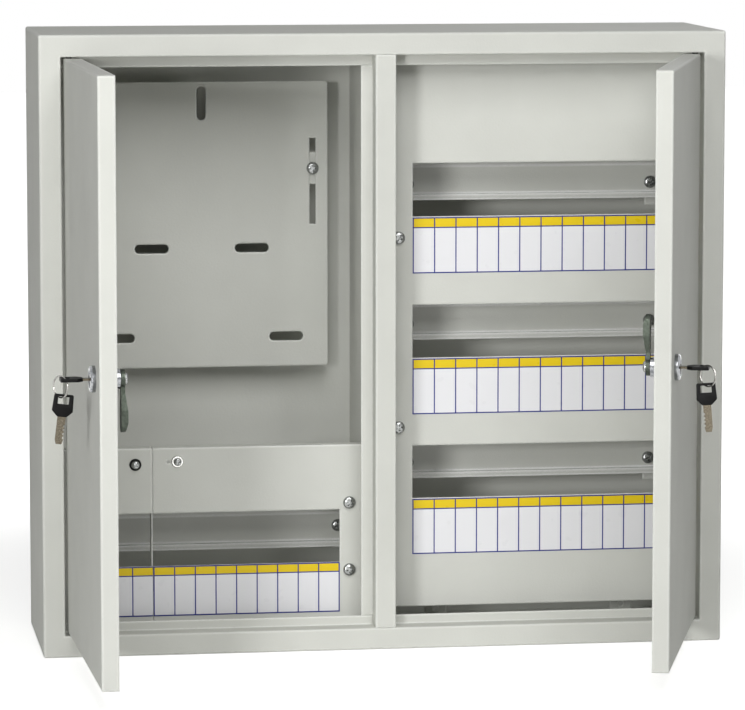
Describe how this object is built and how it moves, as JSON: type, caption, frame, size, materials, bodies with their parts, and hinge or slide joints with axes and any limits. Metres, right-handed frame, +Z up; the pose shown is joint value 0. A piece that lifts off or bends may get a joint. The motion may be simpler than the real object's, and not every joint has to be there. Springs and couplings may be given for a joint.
{
  "type": "electrical enclosure",
  "caption": "Wall-hung sheet steel metering and distribution enclosure with twin hinged doors, key locks, a meter plate, module rails and slotted covers.",
  "frame": {"origin": "middle of the wall fixing holes, on the wall plane at the back", "axes": "+X to the right seen from the front, +Y from the front into the wall, +Z up"},
  "size_m": [0.6066, 0.4235, 0.54],
  "materials": {
    "powder_coat": "fine textured powder coat",
    "zinc_plated": "bright zinc",
    "lock_chrome": "polished",
    "cam_dark": "dark satin",
    "key_plastic": "satin",
    "key_steel": "milled",
    "ring_steel": "nickel plated",
    "washer_rubber": "matt",
    "label_film": "printed film"
  },
  "bodies": {
    "enclosure": {"back_panel": "powder_coat", "body_shell": "powder_coat", "cable_tabs": "powder_coat", "cover_support_bar": "powder_coat", "cup_washer": "lock_chrome", "hinge_pins": "zinc_plated", "left_cover": "powder_coat", "left_cover_brackets": "powder_coat", "left_cover_screws": "zinc_plated", "left_label": "label_film", "left_rail": "powder_coat", "left_rail_brackets": "powder_coat", "left_rail_screws": "zinc_plated", "lower_label": "label_film", "lower_rail": "powder_coat", "lower_rail_brackets": "powder_coat", "lower_rail_screws": "zinc_plated", "meter_plate": "powder_coat", "meter_plate_brackets": "powder_coat", "meter_plate_screws": "zinc_plated", "middle_label": "label_film", "middle_rail": "powder_coat", "middle_rail_brackets": "powder_coat", "middle_rail_screws": "zinc_plated", "mullion": "powder_coat", "partition_plate": "powder_coat", "right_cover": "powder_coat", "right_cover_brackets": "powder_coat", "right_cover_screws": "zinc_plated", "rubber_washer": "washer_rubber", "sealing_cover": "powder_coat", "sealing_label": "label_film", "sealing_screws": "zinc_plated", "upper_label": "label_film", "upper_rail": "powder_coat", "upper_rail_brackets": "powder_coat", "upper_rail_screws": "zinc_plated"},
    "left_door": {"left_door": "powder_coat", "left_lock_housing": "lock_chrome", "left_lock_nut": "zinc_plated"},
    "left_lock": {"left_lock_plug": "lock_chrome", "left_cam": "cam_dark", "left_cam_screw": "zinc_plated", "left_key_head": "key_plastic", "left_key_blade": "key_steel"},
    "left_key_ring": {"left_key_ring": "ring_steel"},
    "left_spare_key": {"left_spare_key_head": "key_plastic", "left_spare_key_blade": "key_steel"},
    "right_door": {"right_door": "powder_coat", "right_lock_housing": "lock_chrome", "right_lock_nut": "zinc_plated"},
    "right_lock": {"right_lock_plug": "lock_chrome", "right_cam": "cam_dark", "right_cam_screw": "zinc_plated", "right_key_head": "key_plastic", "right_key_blade": "key_steel"},
    "right_key_ring": {"right_key_ring": "ring_steel"},
    "right_spare_key": {"right_spare_key_head": "key_plastic", "right_spare_key_blade": "key_steel"}
  },
  "joints": [
    {"name": "left_door_hinge", "type": "hinge", "parent": "enclosure", "child": "left_door", "pos_m": [-0.2735, -0.1605, 0], "axis": [0, 0, 1], "range_deg": [-26.55, 88.45]},
    {"name": "left_lock_turn", "type": "hinge", "parent": "left_door", "child": "left_lock", "pos_m": [-0.2718, -0.38954, 0.002], "axis": [-0.9996, -0.027, 0], "range_deg": [0, 90]},
    {"name": "left_key_ring_swing", "type": "hinge", "parent": "left_door", "child": "left_key_ring", "pos_m": [-0.29931, -0.38588, 0.0044], "axis": [0.027, -0.9996, 0], "range_deg": [-6, 6]},
    {"name": "left_spare_key_swing", "type": "hinge", "parent": "left_key_ring", "child": "left_spare_key", "pos_m": [-0.29931, -0.38588, -0.0132], "axis": [-0.5955, 0.8033, 0], "range_deg": [-18, 18]},
    {"name": "right_door_hinge", "type": "hinge", "parent": "enclosure", "child": "right_door", "pos_m": [0.2735, -0.1605, 0], "axis": [0, 0, 1], "range_deg": [-72.8, 42.2]},
    {"name": "right_lock_turn", "type": "hinge", "parent": "right_door", "child": "right_lock", "pos_m": [0.21008, -0.38059, 0.002], "axis": [0.9553, -0.2957, 0], "range_deg": [0, 90]},
    {"name": "right_key_ring_swing", "type": "hinge", "parent": "right_door", "child": "right_key_ring", "pos_m": [0.23531, -0.39175, 0.0044], "axis": [0.2957, 0.9553, 0], "range_deg": [-6, 6]},
    {"name": "right_spare_key_swing", "type": "hinge", "parent": "right_key_ring", "child": "right_spare_key", "pos_m": [0.23531, -0.39175, -0.0132], "axis": [0.5417, -0.8406, 0], "range_deg": [-18, 18]}
  ]
}
